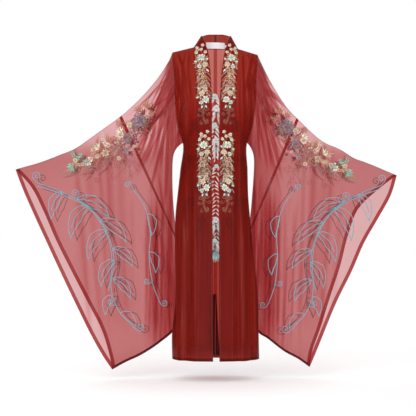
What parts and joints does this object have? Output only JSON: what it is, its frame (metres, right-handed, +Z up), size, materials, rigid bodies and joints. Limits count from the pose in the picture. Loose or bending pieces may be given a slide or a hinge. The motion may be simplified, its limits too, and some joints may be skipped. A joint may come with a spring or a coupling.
{
  "type": "hanfu robe",
  "caption": "Full-length open-front robe in sheer organza with a folded collar band and very wide sleeves, filled out and hanging from the shoulders.",
  "frame": {"origin": "between the shoulders, at the height of the shoulder seams, where the wearer carries the robe", "axes": "+Z up, +X to the wearer's left, -Y to the front"},
  "size_m": [1.608, 0.231, 1.4125],
  "materials": {
    "body_cloth": "sheer dark-red organza, dense over the body",
    "band_cloth": "folded organza band, embroidered",
    "sleeve_cloth": "single-layer sheer red organza",
    "label": "smooth woven tape, bare"
  },
  "bodies": {
    "root": {"front_left": "body_cloth", "back_left": "body_cloth", "band_left": "band_cloth", "upper_sleeve_left": "sleeve_cloth", "lower_sleeve_left": "sleeve_cloth", "front_right": "body_cloth", "back_right": "body_cloth", "band_right": "band_cloth", "upper_sleeve_right": "sleeve_cloth", "lower_sleeve_right": "sleeve_cloth", "neck_label": "label"}
  },
  "joints": []
}
